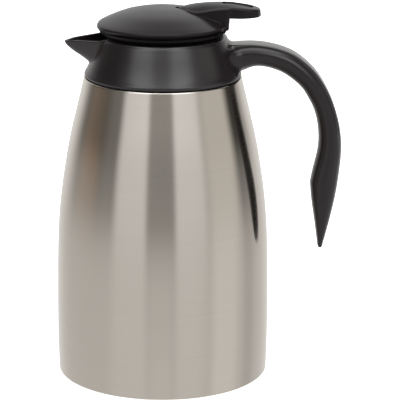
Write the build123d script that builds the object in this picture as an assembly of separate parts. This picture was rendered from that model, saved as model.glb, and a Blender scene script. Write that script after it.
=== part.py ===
from build123d import *
import math
import os

os.makedirs("parts", exist_ok=True)

# Frame: origin on the bottle's axis in the plane of the foot ring, +Z up,
# +X towards the handle, spout towards -X. Millimetres.

# ---- driving dimensions -------------------------------------------------
shell_wall = 0.7
liner_wall = 0.6
shell_profile = [(69.60, 2.4), (69.85, 10), (70.20, 30), (70.05, 60), (69.45, 90),
                 (67.80, 115), (64.40, 140), (60.80, 160), (56.10, 180), (51.60, 199.0)]
foot_in = 63.5            # inner radius of the foot ring
foot_out = 67.2
neck_r_in = 33.9          # clear bore of the steel neck
neck_top = 212.0
rim_flange_r = 36.6
seam_z = 10.0             # weld seam between the shell and its base
seam_gap = 0.02

collar_bore = 38.4
collar_top = 226.5
collar_profile = [(51.0, 202.0), (49.7, 204.4), (48.5, 207.0), (46.55, 212.0), (44.75, 217.0),
                  (42.85, 222.5), (41.35, 225.4)]
spout_tip_x = -64.0
rib_inner_r = 36.95
thread_lead = 18.0        # three starts, right hand
rib_t = 1.8
rib_z = 219.5             # middle of each rib
rib_half_angle = 30.0
lug_outer_r = 38.0
lug_t = 1.8
lug_half_angle = 10.0
lug_gap = 0.3

stopper_r = 36.6
stopper_flange_r = 37.9
stopper_top = 226.4
seat_low = (20.5, 212.6)
seat_high = (24.2, 217.5)
notch_half = 13.0

hinge_x = 36.2
hinge_z = 229.5
pin_r = 1.25
pin_half = 12.6
ear_in, ear_out = 8.2, 11.6
ear_r = 2.6
barrel_r = 2.8

dome_profile = [(0, 244.9), (6.4, 244.8), (12.3, 244.4), (18.2, 243.5), (24.1, 242.25),
                (30.0, 240.38), (35.9, 237.65), (39.9, 235.3), (41.7, 234.1)]
dome_rim = [(42.62, 233.35), (43.0, 232.6), (42.85, 231.85), (42.3, 231.2)]

# hook handle: (outside x, outside z, inside x, inside z, half width)
handle_stations = [
    (38.0, 221.0, 40.0, 201.0, 11.5),
    (44.0, 221.5, 46.0, 202.8, 11.2),
    (50.1, 221.9, 51.6, 205.2, 11.0),
    (56.6, 222.0, 57.0, 207.2, 11.0),
    (63.1, 221.7, 62.5, 207.8, 11.0),
    (70.9, 220.5, 68.5, 207.0, 11.0),
    (78.7, 218.3, 74.3, 205.2, 11.0),
    (86.0, 215.0, 79.5, 202.7, 11.0),
    (92.5, 210.3, 84.3, 199.3, 11.0),
    (98.3, 204.8, 88.5, 195.6, 11.0),
    (103.4, 198.2, 92.3, 191.2, 11.0),
    (107.6, 190.9, 95.5, 185.6, 11.0),
    (110.9, 183.8, 98.0, 180.5, 11.0),
    (113.5, 176.3, 100.0, 174.6, 10.9),
    (115.6, 168.5, 101.4, 167.8, 10.8),
    (117.0, 160.0, 102.1, 160.0, 10.7),
    (117.5, 151.5, 101.8, 152.0, 10.5),
    (117.1, 143.0, 100.4, 144.4, 10.2),
    (116.3, 135.0, 98.7, 137.0, 9.9),
    (115.5, 128.0, 97.1, 128.6, 9.6),
    (114.0, 118.5, 97.9, 119.2, 9.0),
    (112.2, 109.7, 99.2, 110.0, 8.2),
    (110.2, 101.0, 100.6, 101.0, 7.2),
    (108.1, 92.5, 101.8, 92.5, 5.9),
    (106.5, 86.2, 102.7, 86.2, 4.6),
    (105.7, 84.0, 103.5, 84.0, 2.8),
]
spine_depth = 2.4
spine_half = 7.0
spine_gap = 0.06

# thumb lever plan and side lines
vee_plan = [(7.4, 0.0), (8.6, 1.8), (12.0, 5.2), (16.4, 10.0), (20.1, 13.6), (23.9, 16.6),
            (26.8, 18.6), (29.6, 20.6), (32.4, 22.6), (35.2, 24.4)]
lever_top = [(8.6, 245.3), (13, 245.9), (18, 246.9), (24.6, 247.75), (32.4, 248.3), (38.8, 248.35),
             (45.9, 247.9), (50.5, 247.1), (54.4, 246.4), (60.2, 244.9), (63.0, 243.7)]
tab_end_x = 63.5
tab_under = 239.6
tab_half = 10.6
hump_half = 12.0
hump_back_x = 43.2


def P(r, z):
    return (r, 0, z)


def face_of(curves):
    return make_face([e for c in curves for e in c.edges()])


def revolved(curves):
    return revolve(face_of(curves), Axis.Z, 360)


def poly_rev(points):
    return revolve(make_face(Polyline(*[P(*p) for p in points], close=True)), Axis.Z, 360)


def offset_curve(points, d):
    """Moves each point of an upward (r, z) curve inwards by d along its normal."""
    out = []
    for i, (r, z) in enumerate(points):
        a = points[max(i - 1, 0)]
        b = points[min(i + 1, len(points) - 1)]
        tx, tz = b[0] - a[0], b[1] - a[1]
        n = math.hypot(tx, tz)
        out.append((r - d * tz / n, z + d * tx / n))
    return out


def save(obj, name):
    obj.label = name
    export_step(obj, f"parts/{name}.step")


def cyl_y(r, y0, y1, x, z):
    return Pos(x, (y0 + y1) / 2, z) * Rot(90, 0, 0) * Cylinder(r, abs(y1 - y0))


def cyl_x(r, x0, x1, y, z):
    return Pos((x0 + x1) / 2, y, z) * Rot(0, 90, 0) * Cylinder(r, abs(x1 - x0))


def cyl_z(r, z0, z1, x, y):
    return Pos(x, y, (z0 + z1) / 2) * Cylinder(r, abs(z1 - z0))


def box(x0, x1, y0, y1, z0, z1):
    return Pos((x0 + x1) / 2, (y0 + y1) / 2, (z0 + z1) / 2) * Box(x1 - x0, y1 - y0, z1 - z0)


# ---- outer shell and its welded base -------------------------------------
out_pts = shell_profile[1:]
in_pts = offset_curve(shell_profile, shell_wall)[1:]
neck_seam_r = 49.5       # weld seam between the shell and its neck, hidden under the collar
shoulder = [(51.60, 199.0), (50.7, 199.7), (neck_seam_r, 199.875)]
shoulder_in = [(neck_seam_r, 199.117), (50.2, 199.0), (50.92, 198.75)]
in_pts[0] = (out_pts[0][0] - shell_wall, seam_z)
in_pts[-1] = (50.92, 198.75)
w = [
    Line(P(*out_pts[0]), P(*in_pts[0])),
    Spline(*[P(*p) for p in in_pts]),
    Polyline(*[P(*p) for p in reversed(shoulder_in)]),
    Line(P(*shoulder_in[0]), P(*shoulder[-1])),
    Polyline(*[P(*p) for p in reversed(shoulder)]),
    Spline(*[P(*p) for p in reversed(out_pts)]),
]
outer_shell = revolved(w)
save(outer_shell, "outer_shell")
outer_neck = poly_rev([(neck_seam_r - seam_gap, 199.878), (48.3, 200.05), (41.2, 202.2), (37.6, 204.1),
                       (35.6, 206.3), (35.6, neck_top), (34.9, neck_top), (34.9, 206.0), (37.1, 203.6),
                       (40.9, 201.55), (48.1, 199.35), (neck_seam_r - seam_gap, 199.12)])
save(outer_neck, "outer_neck")

seam_r = out_pts[0][0]
w = [
    Line(P(foot_out, 0), P(foot_in, 0)),
    Line(P(foot_in, 0), P(foot_in, 4.0)),
    Line(P(foot_in, 4.0), P(foot_in + shell_wall, 4.0)),
    Line(P(foot_in + shell_wall, 4.0), P(foot_in + shell_wall, shell_wall)),
    Line(P(foot_in + shell_wall, shell_wall), P(foot_out, shell_wall)),
    ThreePointArc(P(foot_out, shell_wall), P(68.42, 1.25), P(68.9, 2.5)),
    Line(P(68.9, 2.5), P(seam_r - shell_wall, seam_z - seam_gap)),
    Line(P(seam_r - shell_wall, seam_z - seam_gap), P(seam_r, seam_z - seam_gap)),
    Line(P(seam_r, seam_z - seam_gap), P(69.6, 2.4)),
    ThreePointArc(P(69.6, 2.4), P(67.2 + 2.4 * math.sin(math.pi / 4), 2.4 - 2.4 * math.cos(math.pi / 4)),
                  P(foot_out, 0)),
]
outer_base = revolved(w)
save(outer_base, "outer_base")

# ---- base plate, seal cap, getter ---------------------------------------
base_plate = poly_rev([(0, 3.6), (20, 3.6), (24, 2.6), (63.3, 2.6), (63.3, 3.4), (24.3, 3.4), (20.3, 4.4), (0, 4.4)])
save(base_plate, "base_plate")
vacuum_seal_cap = poly_rev([(0, 2.3), (7.0, 2.3), (7.6, 2.9), (7.6, 3.58), (0, 3.58)])
save(vacuum_seal_cap, "vacuum_seal_cap")
getter = poly_rev([(0, 5.6), (8.6, 5.6), (9.2, 6.2), (9.2, 8.2), (0, 8.2)])
save(getter, "getter")

# ---- inner liner: body, welded neck and welded bottom cup ------------------
girth_z = 112.0          # weld seam between the liner's body and its neck
liner_in = [(62.9, 20), (64.3, 40), (64.1, 66), (63.3, 92), (61.74, girth_z), (57.9, 139), (53.9, 159),
            (48.9, 178), (42.6, 192), (37.2, 200.4)]
liner_out = offset_curve(liner_in, -liner_wall)
liner_out[0] = (liner_in[0][0] + liner_wall, liner_in[0][1])
liner_out[4] = (liner_in[4][0] + liner_wall, girth_z)
low_in, low_out = liner_in[:5], liner_out[:5]
inner_liner = revolved([
    Spline(*[P(*p) for p in low_in]),
    Line(P(*low_in[-1]), P(*low_out[-1])),
    Spline(*[P(*p) for p in reversed(low_out)]),
    Line(P(*low_out[0]), P(*low_in[0])),
])
save(inner_liner, "inner_liner")
top_in = [(liner_in[4][0], girth_z + seam_gap)] + liner_in[5:]
top_out = [(liner_out[4][0], girth_z + seam_gap)] + liner_out[5:]
w = [
    Spline(*[P(*p) for p in top_in]),
    Line(P(*top_in[-1]), P(neck_r_in, 205.2)),
    Line(P(neck_r_in, 205.2), P(neck_r_in, neck_top + 0.6)),
    Line(P(neck_r_in, neck_top + 0.6), P(rim_flange_r, neck_top + 0.6)),
    Line(P(rim_flange_r, neck_top + 0.6), P(rim_flange_r, neck_top + 0.02)),
    Line(P(rim_flange_r, neck_top + 0.02), P(neck_r_in + liner_wall, neck_top + 0.02)),
    Line(P(neck_r_in + liner_wall, neck_top + 0.02), P(neck_r_in + liner_wall, 205.5)),
    Line(P(neck_r_in + liner_wall, 205.5), P(*top_out[-1])),
    Spline(*[P(*p) for p in reversed(top_out)]),
    Line(P(*top_out[0]), P(*top_in[0])),
]
inner_neck = revolved(w)
save(inner_neck, "inner_neck")

cup_r, cup_z = liner_in[0][0], liner_in[0][1] - seam_gap
w = [
    Line(P(0, 9.0), P(48, 9.0)),
    ThreePointArc(P(48, 9.0), P(58.5, 12.6), P(cup_r, cup_z)),
    Line(P(cup_r, cup_z), P(cup_r + liner_wall, cup_z)),
    ThreePointArc(P(cup_r + liner_wall, cup_z), P(58.95, 12.2), P(48, 8.4)),
    Line(P(48, 8.4), P(0, 8.4)),
    Line(P(0, 8.4), P(0, 9.0)),
]
inner_bottom = revolved(w)
save(inner_bottom, "inner_bottom")

# ---- collar with spout ---------------------------------------------------
outer_line = [(52.05, 201.0)] + collar_profile
cin = offset_curve(collar_profile, 2.4)
tube_out = 40.4
# where the cone's inner face meets the inner tube
k = next(i for i, p in enumerate(cin) if p[0] < tube_out + 0.4)
inner_line = cin[:k]
w = [
    Polyline(P(49.2, 200.7), P(51.3, 200.7), P(51.3, 199.9), P(51.85, 199.9), P(52.05, 200.2), P(52.05, 201.0)),
    Spline(*[P(*p) for p in outer_line]),
    Polyline(P(*collar_profile[-1]), P(41.0, 226.1), P(40.5, collar_top), P(38.8, collar_top), P(collar_bore, 226.1),
             P(collar_bore, 209.2), P(36.4, 209.2), P(36.4, 206.9), P(tube_out, 206.9), P(tube_out, 220.5),
             *[P(*p) for p in reversed(inner_line)], P(49.2, 202.6), P(49.2, 200.7)),
]
collar = revolved(w)

cone_env = revolved([
    Line(P(0, 199.9), P(52.05, 199.9)), Line(P(52.05, 199.9), P(52.05, 201.0)),
    Spline(*[P(*p) for p in outer_line]),
    Polyline(P(*collar_profile[-1]), P(41.0, 226.1), P(40.5, collar_top), P(0, collar_top), P(0, 199.9))])

# spout: sections across X, from inside the collar wall to the tip
spout_rows = [  # x, half width at the rim, rim z, underside z
    (-40.6, 15.0, 225.6, 203.6),
    (-45.0, 11.9, 224.7, 206.6),
    (-50.9, 8.6, 223.9, 211.0),
    (-56.5, 5.6, 223.2, 214.9),
    (-60.8, 3.3, 222.9, 218.2),
    (-63.7, 1.5, 222.7, 221.0),
]


def spout_section(x, hw, zt, zb):
    h = zt - zb
    top = Line((x, -hw, zt), (x, hw, zt))
    under = Spline((x, hw, zt), (x, hw * 0.80, zb + h * 0.47), (x, hw * 0.42, zb + h * 0.10), (x, 0, zb),
                   (x, -hw * 0.42, zb + h * 0.10), (x, -hw * 0.80, zb + h * 0.47), (x, -hw, zt))
    return face_of([top, under])


spout = loft([spout_section(*r) for r in spout_rows])
bore_env = cyl_z(collar_bore, 195, 240, 0, 0)
collar = collar + (spout - bore_env)
channel_rows = [
    (-30.0, 13.4, 230.0, 215.6),
    (-40.6, 12.6, 230.0, 216.1),
    (-45.0, 9.9, 230.0, 217.0),
    (-50.9, 6.7, 230.0, 218.4),
    (-56.5, 3.8, 230.0, 219.9),
    (-60.8, 1.7, 230.0, 221.3),
    (-64.5, 0.6, 230.0, 222.2),
]


def channel_section(x, hw, zt, zb):
    pts = [(x, -hw, zt), (x, -hw, zb + 4.2), (x, -hw * 0.72, zb + 1.2), (x, 0, zb), (x, hw * 0.72, zb + 1.2),
           (x, hw, zb + 4.2), (x, hw, zt)]
    e1 = Line(pts[0], pts[1])
    e2 = Spline(*pts[1:6])
    e3 = Line(pts[5], pts[6])
    e4 = Line(pts[6], pts[0])
    return face_of([e1, e2, e3, e4])


channel = loft([channel_section(*r) for r in channel_rows])
collar = collar - channel


def helical_rib(r0, r1, t, z_mid, mid_deg, half_deg):
    """A short right-hand helical segment from radius r0 to r1."""
    n = 6
    secs = []
    for i in range(n + 1):
        a = -half_deg + 2 * half_deg * i / n
        z = z_mid + thread_lead * a / 360
        ang = math.radians(mid_deg + a)
        c, s = math.cos(ang), math.sin(ang)
        secs.append(make_face(Polyline((r0 * c, r0 * s, z - t / 2), (r1 * c, r1 * s, z - t / 2),
                                       (r1 * c, r1 * s, z + t / 2), (r0 * c, r0 * s, z + t / 2), close=True)))
    return loft(secs)


for deg in (0, 120, 240):
    collar = collar + helical_rib(rib_inner_r, collar_bore + 0.6, rib_t, rib_z, deg, rib_half_angle)
# screw holes for the handle
for y in (-6, 6):
    collar = collar - cyl_x(1.65, 40, 56, y, 209.0)
save(collar, "collar")

collar_gasket = poly_rev([(48.5, 200.12), (51.1, 200.0), (51.1, 200.62), (48.5, 200.62)])
save(collar_gasket, "collar_gasket")
neck_ring = poly_rev([(35.75, 209.3), (38.1, 209.3), (38.1, 211.9), (35.75, 211.9)])
save(neck_ring, "neck_ring")
neck_ring_seal = poly_rev([(36.75, 212.0), (38.3, 212.0), (38.3, 213.0), (36.75, 213.0)])
save(neck_ring_seal, "neck_ring_seal")

# ---- handle and spine ----------------------------------------------------


def frame_at(i):
    xo, zo, xi, zi, hw = handle_stations[i]
    nx, nz = xo - xi, zo - zi
    t = math.hypot(nx, nz)
    return (xo + xi) / 2, (zo + zi) / 2, nx / t, nz / t, t / 2, hw


def shelf(i):
    cx, cz, nx, nz, h, hw = frame_at(i)
    depth = max(min(h * 2 - 3.0, spine_depth), 1.2)
    return cx, cz, nx, nz, h, hw, depth, min(spine_half, hw * 0.66)


def handle_section(i):
    """Rounded section: belly on the inside, flat shelf under the spine outside."""
    cx, cz, nx, nz, h, hw, depth, sh = shelf(i)

    def q(y, d):
        return (cx + nx * d, y, cz + nz * d)

    top = h - depth
    round_side = Spline(q(sh, top), q(hw * 0.86, top - 0.10 * h), q(hw, top - 0.42 * h), q(hw * 0.93, -0.35 * h),
                        q(hw * 0.66, -0.80 * h), q(0, -h),
                        q(-hw * 0.66, -0.80 * h), q(-hw * 0.93, -0.35 * h), q(-hw, top - 0.42 * h),
                        q(-hw * 0.86, top - 0.10 * h), q(-sh, top))
    return Wire([Edge.make_line(q(-sh, top), q(sh, top)), round_side.edge()])


def spine_section(i):
    """Crowned strip that lies on the shelf."""
    cx, cz, nx, nz, h, hw, depth, sh = shelf(i)

    def q(y, d):
        return (cx + nx * d, y, cz + nz * d)

    b = h - depth + spine_gap
    crown = Spline(q(sh, b), q(sh * 0.96, b + depth * 0.5), q(sh * 0.55, h - 0.13 * depth), q(0, h),
                   q(-sh * 0.55, h - 0.13 * depth), q(-sh * 0.96, b + depth * 0.5), q(-sh, b))
    return Wire([Edge.make_line(q(-sh, b), q(sh, b)), crown.edge()])


n_st = len(handle_stations)
handle = Solid.make_loft([handle_section(i) for i in range(n_st)])
spine = Solid.make_loft([spine_section(i) for i in range(n_st)])
print("handle", round(handle.volume), "spine", round(spine.volume))
clear_env = revolved([
    Line(P(0, 195), P(52.1, 195)), Line(P(52.1, 195), P(52.1, 201.0)),
    Spline(*[P(r + 0.05, z) for r, z in outer_line]),
    Polyline(P(collar_profile[-1][0] + 0.05, collar_profile[-1][1]), P(41.05, 232), P(0, 232), P(0, 195))])
handle = handle - clear_env
spine = spine - clear_env
for y in (-6, 6):
    handle = handle - cyl_x(1.25, 44, 58.4, y, 209.0)
save(handle, "handle")
save(spine, "handle_spine")

handle_screws = Compound(children=[
    cyl_x(2.2, 41.4, 43.2, y, 209.0) + cyl_x(1.2, 43.2, 58.0, y, 209.0)
    for y in (-6, 6)])
save(handle_screws, "handle_screws")

# ---- stopper -------------------------------------------------------------
seal = poly_rev([(32.85, 208.3), (33.2, 208.1), (33.58, 208.6), (33.3, 209.6), (33.58, 210.6), (33.3, 211.6),
                 (33.58, 212.4), (32.85, 212.8)])
save(seal, "stopper_seal")

stopper_body = poly_rev([
    (stopper_flange_r, stopper_top), (stopper_flange_r, 222.9), (stopper_r, 222.4), (stopper_r, 213.6),
    (32.5, 213.6), (32.5, 207.9), (30.6, 207.9), (30.6, 215.7), (25.1, 215.7), (21.9, 211.4), (21.9, 207.9),
    (20.5, 207.9), seat_low, seat_high, (34.0, 217.5), (34.0, 225.6), (34.6, stopper_top)])
stopper_body = stopper_body - box(-42, -30, -notch_half, notch_half, 217.5, 240)
lug_z = rib_z - rib_t / 2 - lug_gap - lug_t / 2
for deg in (0, 120, 240):
    stopper_body = stopper_body + helical_rib(stopper_r - 0.6, lug_outer_r, lug_t, lug_z, deg, lug_half_angle)
stopper_body = stopper_body - box(30, 42, -ear_in + 0.01, ear_in - 0.01, 225.2, 232)
for s in (-1, 1):
    y0, y1 = sorted((s * ear_in, s * ear_out))
    ear = cyl_y(ear_r, y0, y1, hinge_x, hinge_z) + box(hinge_x - 2.4, hinge_x - 0.1, y0, y1, 224.5, hinge_z)
    stopper_body = stopper_body + ear
stopper_body = stopper_body - cyl_y(pin_r + 0.05, -20, 20, hinge_x, hinge_z)
save(stopper_body, "stopper_body")

stopper_cap = poly_rev([(20.5, 206.4), (33.0, 206.4), (33.3, 206.8), (33.3, 207.8), (20.5, 207.8)])
save(stopper_cap, "stopper_cap")
stopper_foam = poly_rev([(22.1, 208.0), (30.4, 208.0), (30.4, 215.5), (25.25, 215.5), (22.1, 211.4)])
save(stopper_foam, "stopper_foam")

# ---- flip lid ------------------------------------------------------------
dome_in = [(40.35, 231.2), (40.2, 232.4), (38.9, 233.7), (34.6, 236.1), (28.6, 238.5), (22.0, 240.3),
           (14.0, 241.7), (0, 242.4)]
dome_out_edges = [
    Spline(*[P(*p) for p in dome_profile]),
    Polyline(P(*dome_profile[-1]), P(*dome_rim[0])),
    Spline(*[P(*p) for p in dome_rim]),
]
lid_dome = revolved(dome_out_edges + [Polyline(P(*dome_rim[-1]), *[P(*p) for p in dome_in], P(*dome_profile[0]))])

# V-shaped pocket that the lever's base lies in
pocket_depth = 1.2


def vee_prism(gap, z0, z1):
    pts = [(x + gap * 1.6 if y == 0 else x + gap * 0.9, y) for x, y in vee_plan]
    left = [(x, -(y - (gap * 0.6 if y else 0))) for x, y in pts]
    right = [(x, y - (gap * 0.6 if y else 0)) for x, y in pts]
    end = [(50, right[-1][1]), (50, -right[-1][1])]
    plan = [(right[0][0], 0)] + right[1:] + end + list(reversed(left[1:]))
    face = make_face(Polyline(*[(x, y, z0) for x, y in plan], close=True))
    return extrude(face, z1 - z0, dir=(0, 0, 1))


def dome_solid(drop):
    pr = [(r, z - drop) for r, z in dome_profile]
    return revolved([Spline(*[P(*p) for p in pr]),
                     Polyline(P(*pr[-1]), P(41.7, 220), P(0, 220), P(0, pr[0][1]))])


above_pocket = box(-60, 60, -60, 60, 200, 260) - dome_solid(pocket_depth)
rim_cut = cyl_z(41.6, 200, 260, 0, 0)
pocket = vee_prism(0, 225, 255) & above_pocket & rim_cut
lid_dome = lid_dome - pocket
save(lid_dome, "lid_dome")

lever_base = (dome_solid(0.35) & vee_prism(0.2, 225, 255)) - dome_solid(pocket_depth - 0.08)
lever_base = lever_base & cyl_z(41.4, 200, 260, 0, 0)
side = face_of([
    Spline(*[(x, 0, z) for x, z in lever_top]),
    Polyline((63.0, 0, 243.7), (tab_end_x, 0, 242.6), (tab_end_x, 0, 240.4), (62.8, 0, tab_under),
             (hump_back_x + 0.9, 0, tab_under - 0.3), (hump_back_x, 0, 238.2), (hump_back_x - 0.4, 0, 233.2),
             (41.2, 0, 233.0), (8.6, 0, 233.0), (8.6, 0, 245.3))])
side = extrude(side, 16, dir=(0, 1, 0), both=True)
plan_pts = [(8.6, 0.9), (12.0, 4.4), (16.4, 9.0), (19.2, 11.3), (21.6, hump_half), (28.0, hump_half), (38.0, hump_half),
            (42.0, hump_half - 0.1), (hump_back_x + 0.3, tab_half + 0.2), (48.0, tab_half), (52.0, tab_half - 0.6),
            (56.0, tab_half - 1.8), (60.0, tab_half - 4.0), (62.5, tab_half - 6.8), (tab_end_x, tab_half - 9.6)]
plan_face = make_face(Polyline(*[(x, y, 225) for x, y in plan_pts],
                               *[(x, -y, 225) for x, y in reversed(plan_pts)], close=True))
hump = side & extrude(plan_face, 30, dir=(0, 0, 1))
hump = hump - dome_solid(pocket_depth - 0.08)
# crown of the top, from side to side
crown_r = 30.0
rim_keep = poly_rev([(41.3, 220), (43.15, 220), (43.15, 232.9), (42.75, 233.6), (41.8, 234.45), (41.3, 234.9)])
lever = (hump - rim_keep) + lever_base
recess = extrude(make_face(Plane.XY.offset(246.2) * (Pos(48.7, 0) * SlotOverall(20.0, 8.6))), 5)
lever = lever - recess
for x in (22.0, 34.0):
    lever = lever - cyl_z(1.2, 230, 244.0, x, 0)
save(lever, "thumb_lever")

lever_screws = []
for x in (22.0, 34.0):
    zin = 239.5 if x < 30 else 234.9
    lever_screws.append(cyl_z(2.6, zin - 2.1, zin - 0.3, x, 0) + cyl_z(1.15, zin - 0.3, 243.6, x, 0))
lid_dome_holes = [cyl_z(1.25, 230, 250, x, 0) for x in (22.0, 34.0)]
for h in lid_dome_holes:
    lid_dome = lid_dome - h
save(lid_dome, "lid_dome")
save(Compound(children=lever_screws), "lever_screws")

lid_base = poly_rev([(0, 226.85), (37.6, 226.85), (38.1, 227.1), (41.1, 229.4), (42.0, 231.05), (40.2, 231.05),
                     (37.2, 228.7), (0, 228.7)])
lid_base = lid_base + (cyl_y(barrel_r, -7.9, 7.9, hinge_x, hinge_z) & box(30, 45, -10, 10, 226.75, 240))
lid_base = lid_base - box(32.6, 46, 7.9, 12.8, 224, 233) - box(32.6, 46, -12.8, -7.9, 224, 233)
lid_base = lid_base - box(hinge_x - 4.6, hinge_x + 2.8, -2.6, 2.6, 224, 234)
lid_base = lid_base - cyl_y(pin_r, -20, 20, hinge_x, hinge_z)
save(lid_base, "lid_base")

u = (0.603, 0.798)
nrm = (0.798, -0.603)


def cone_pt(s, d):
    return (20.2 + s * u[0] + d * nrm[0], 212.8 + s * u[1] + d * nrm[1])


lid_plug = poly_rev([(27.0, 226.8), (27.0, 221.8), (23.9, 217.7), (20.2, 212.8), (19.4, 212.4), (0, 212.4),
                     (0, 214.2), (18.6, 214.2), (25.2, 222.5), (25.2, 226.8)])
lid_plug = lid_plug - poly_rev([cone_pt(2.1, -1.3), cone_pt(4.3, -1.3), cone_pt(4.3, 0.6), cone_pt(2.1, 0.6)])
save(lid_plug, "lid_plug")
plug_gasket = poly_rev([cone_pt(2.15, -1.25), cone_pt(4.25, -1.25), cone_pt(4.1, 0.0), cone_pt(3.2, 0.12),
                        cone_pt(2.3, 0.0)])
save(plug_gasket, "plug_gasket")
lid_foam = poly_rev([(0, 214.35), (18.4, 214.35), (25.0, 222.65), (25.0, 226.7), (0, 226.7)])
save(lid_foam, "lid_foam")

hinge_pin = cyl_y(pin_r, -pin_half, pin_half, hinge_x, hinge_z)
save(hinge_pin, "hinge_pin")

helix = Helix(pitch=0.85, height=4 * 0.85, radius=2.0)
wire_profile = (Plane(origin=helix @ 0, z_dir=helix % 0)) * Circle(0.3)
coil = sweep(wire_profile, path=helix)
coil = Pos(hinge_x, 1.7, hinge_z) * Rot(90, 0, 0) * coil
save(coil, "lid_spring")
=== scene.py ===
import math

import bmesh
import bpy
import numpy as np
from mathutils import Matrix, Vector
from mathutils.geometry import delaunay_2d_cdt


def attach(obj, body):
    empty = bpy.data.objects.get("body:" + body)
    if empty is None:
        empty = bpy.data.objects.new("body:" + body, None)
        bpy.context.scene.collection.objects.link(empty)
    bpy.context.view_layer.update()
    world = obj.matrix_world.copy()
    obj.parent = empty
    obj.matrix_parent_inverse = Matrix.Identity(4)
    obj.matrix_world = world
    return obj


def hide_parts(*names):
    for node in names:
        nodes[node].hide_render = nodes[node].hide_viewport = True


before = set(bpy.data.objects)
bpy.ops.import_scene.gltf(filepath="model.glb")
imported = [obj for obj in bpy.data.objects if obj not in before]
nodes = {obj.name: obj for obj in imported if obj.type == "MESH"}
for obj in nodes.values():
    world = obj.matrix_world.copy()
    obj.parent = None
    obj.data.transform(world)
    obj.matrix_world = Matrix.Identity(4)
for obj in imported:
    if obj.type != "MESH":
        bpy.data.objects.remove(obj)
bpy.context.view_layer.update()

MM = 0.001

# =====================================================================
# curves (everything below is in millimetres until a mesh is made)
# =====================================================================


class Spline:
    """Natural cubic spline of y(t); y may be a vector."""

    def __init__(self, t, y):
        t = np.asarray(t, float)
        y = np.asarray(y, float)
        if y.ndim == 1:
            y = y[:, None]
            self.flat = True
        else:
            self.flat = False
        n = len(t)
        h = np.diff(t)
        a = np.zeros((n, n))
        b = np.zeros((n, y.shape[1]))
        a[0, 0] = a[-1, -1] = 1.0
        for i in range(1, n - 1):
            a[i, i - 1], a[i, i], a[i, i + 1] = h[i - 1], 2 * (h[i - 1] + h[i]), h[i]
            b[i] = 6 * ((y[i + 1] - y[i]) / h[i] - (y[i] - y[i - 1]) / h[i - 1])
        self.t, self.y, self.h, self.m = t, y, h, np.linalg.solve(a, b)

    def __call__(self, s):
        s = np.atleast_1d(np.asarray(s, float))
        k = np.clip(np.searchsorted(self.t, s) - 1, 0, len(self.h) - 1)
        h = self.h[k][:, None]
        u = (s - self.t[k])[:, None]
        v = (self.t[k + 1] - s)[:, None]
        m0, m1, y0, y1 = self.m[k], self.m[k + 1], self.y[k], self.y[k + 1]
        out = m0 * v ** 3 / (6 * h) + m1 * u ** 3 / (6 * h) + (y0 / h - m0 * h / 6) * v + (y1 / h - m1 * h / 6) * u
        return out[:, 0] if self.flat else out


def smooth(a, b, x):
    u = np.clip((np.asarray(x, float) - a) / (b - a), 0, 1)
    return u * u * (3 - 2 * u)


def lerp(pts, x):
    p = np.asarray(pts, float)
    return np.interp(x, p[:, 0], p[:, 1])


def rounded(points, radii, n=6):
    """A 2-D path with a tangent arc in place of each inner corner."""
    pts = [np.asarray(p, float) for p in points]
    out = [pts[0]]
    for i in range(1, len(pts) - 1):
        r = radii[i] if isinstance(radii, (list, tuple)) else radii
        a, b, c = pts[i - 1], pts[i], pts[i + 1]
        u, v = a - b, c - b
        lu, lv = np.linalg.norm(u), np.linalg.norm(v)
        u, v = u / lu, v / lv
        ang = math.acos(max(-1.0, min(1.0, float(u @ v))))
        if r <= 0 or ang > math.pi - 0.02:
            out.append(b)
            continue
        d = min(r / math.tan(ang / 2), 0.48 * lu, 0.48 * lv)
        r = d * math.tan(ang / 2)
        mid = (u + v) / np.linalg.norm(u + v)
        centre = b + mid * r / math.sin(ang / 2)
        p0, p1 = b + u * d, b + v * d
        a0 = math.atan2(*(p0 - centre)[::-1])
        a1 = math.atan2(*(p1 - centre)[::-1])
        da = (a1 - a0 + math.pi) % (2 * math.pi) - math.pi
        for k in range(n + 1):
            t = a0 + da * k / n
            out.append(centre + r * np.array([math.cos(t), math.sin(t)]))
    out.append(pts[-1])
    return np.array(out)


# =====================================================================
# meshes
# =====================================================================


def make(name, verts, faces, material, body, slot, replaces=(), sharp=32.0, weld=1e-7):
    """A closed mesh object from millimetre points, shaded smooth up to a crease angle."""
    mesh = bpy.data.meshes.new(name)
    mesh.from_pydata([tuple(v) for v in np.asarray(verts, float) * MM], [], [tuple(f) for f in faces])
    bm = bmesh.new()
    bm.from_mesh(mesh)
    bmesh.ops.remove_doubles(bm, verts=bm.verts, dist=weld)
    bmesh.ops.dissolve_degenerate(bm, dist=weld, edges=bm.edges)
    bmesh.ops.recalc_face_normals(bm, faces=bm.faces)
    bm.to_mesh(mesh)
    bm.free()
    mesh.validate()
    mesh.shade_smooth()
    mesh.set_sharp_from_angle(angle=math.radians(sharp))
    mesh.materials.append(material)
    obj = bpy.data.objects.new(name, mesh)
    bpy.context.scene.collection.objects.link(obj)
    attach(obj, body)
    if replaces:
        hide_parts(*replaces)
    return obj


def torus_grid(p):
    """Faces of a grid that closes both ways; p is (columns, rows, 3)."""
    m, n = p.shape[:2]
    i = np.arange(m)[:, None]
    j = np.arange(n)[None, :]
    i2, j2 = (i + 1) % m, (j + 1) % n
    f = np.stack([i * n + j + 0 * i, i2 * n + j, i2 * n + j2, i * n + j2], -1).reshape(-1, 4)
    return p.reshape(-1, 3), f.tolist()


def tube_grid(p):
    """Faces of a loft of closed rings with both ends capped; p is (rings, points, 3)."""
    m, n = p.shape[:2]
    faces = []
    for i in range(m - 1):
        for j in range(n):
            k = (j + 1) % n
            faces.append((i * n + j, i * n + k, (i + 1) * n + k, (i + 1) * n + j))
    faces.append(tuple(range(n - 1, -1, -1)))
    faces.append(tuple((m - 1) * n + j for j in range(n)))
    return p.reshape(-1, 3), faces


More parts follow.
